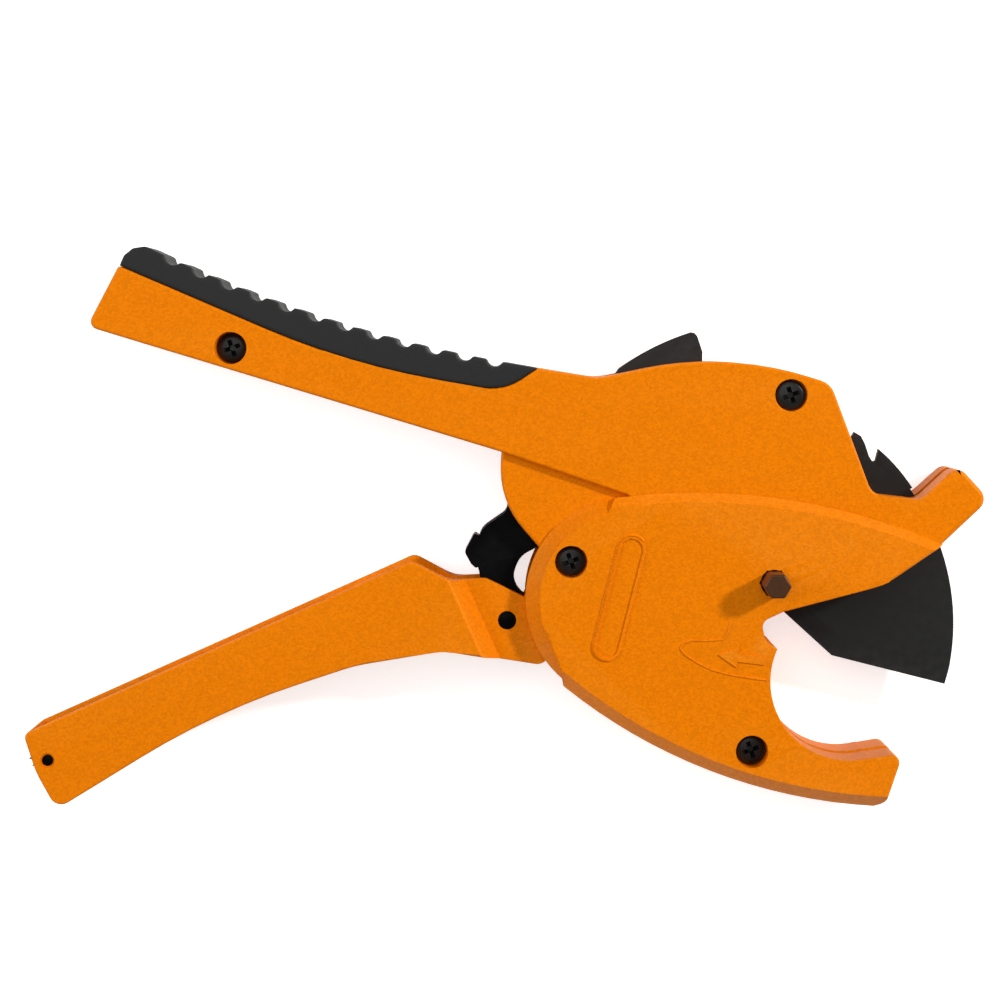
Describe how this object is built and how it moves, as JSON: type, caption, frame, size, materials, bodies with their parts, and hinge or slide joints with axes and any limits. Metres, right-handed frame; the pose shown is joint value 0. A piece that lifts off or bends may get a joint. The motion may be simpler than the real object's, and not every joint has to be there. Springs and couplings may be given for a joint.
{
  "type": "pvc pipe cutter",
  "caption": "Ratcheting plastic pipe cutter: two-shell head with a C-shaped jaw, pivoting toothed blade, squeezed trigger handle, drive and holding pawls, and a thumb latch.",
  "frame": {"origin": "the blade pivot axis, at the plane the tool lies on", "axes": "+X from the handles to the jaw, +Y from the trigger to the upper handle, +Z along the blade pivot, out of the front face"},
  "size_m": [0.2565, 0.1497, 0.035],
  "materials": {
    "orange_paint": "satin powder coat with a fine grain",
    "grip_rubber": "matt",
    "black_screws": "black oxide",
    "blade_coating": "black non-stick coating",
    "black_steel": "black oxide",
    "bronzed_steel": "oiled brown steel",
    "bright_steel": "ground",
    "spring_steel": "drawn wire"
  },
  "bodies": {
    "casing": {"front_shell": "orange_paint", "rear_shell": "orange_paint", "grip_pad": "grip_rubber", "handle_screw": "black_screws", "head_screw": "black_screws", "jaw_screw": "black_screws", "trigger_pivot_screw": "black_screws", "trigger_bush": "bright_steel", "blade_pin": "bronzed_steel", "pin_clip": "bright_steel", "blade_washers": "bright_steel", "trigger_spring": "spring_steel", "holding_pawl_pin": "bright_steel", "holding_pawl_spring": "spring_steel", "catch_bar": "bright_steel"},
    "cutting_blade": {"blade": "blade_coating"},
    "trigger": {"trigger_handle": "orange_paint", "pawl_pin": "black_steel", "pawl_spring": "spring_steel", "latch_pin": "black_steel", "latch_spring": "spring_steel"},
    "driver": {"drive_pawl": "black_steel"},
    "holder": {"holding_pawl": "black_steel"},
    "thumb_latch": {"latch": "black_steel"}
  },
  "joints": [
    {"name": "blade_swing", "type": "hinge", "parent": "casing", "child": "cutting_blade", "pos_m": [0, 0, 0.013], "axis": [0, 0, 1], "range_deg": [-50, 24]},
    {"name": "trigger_swing", "type": "hinge", "parent": "casing", "child": "trigger", "pos_m": [-0.054, 0.0056, 0.013], "axis": [0, 0, 1], "range_deg": [-42, 0], "stiffness_Nm_per_rad": 0.4, "springref_deg": 17.19},
    {"name": "drive_pawl_pivot", "type": "hinge", "parent": "trigger", "child": "driver", "pos_m": [-0.071, -0.0107, 0.013], "axis": [0, 0, 1], "range_deg": [0, 22]},
    {"name": "holding_pawl_pivot", "type": "hinge", "parent": "casing", "child": "holder", "pos_m": [-0.0685, 0.0458, 0.013], "axis": [0, 0, 1], "range_deg": [0, 10]},
    {"name": "latch_swing", "type": "hinge", "parent": "trigger", "child": "thumb_latch", "pos_m": [-0.19357, -0.04752, 0.013], "axis": [0, 0, 1], "range_deg": [0, 47]}
  ],
  "couplings": [
    {"joint": "drive_pawl_pivot", "follows": "trigger_swing", "ratio": -0.51}
  ]
}
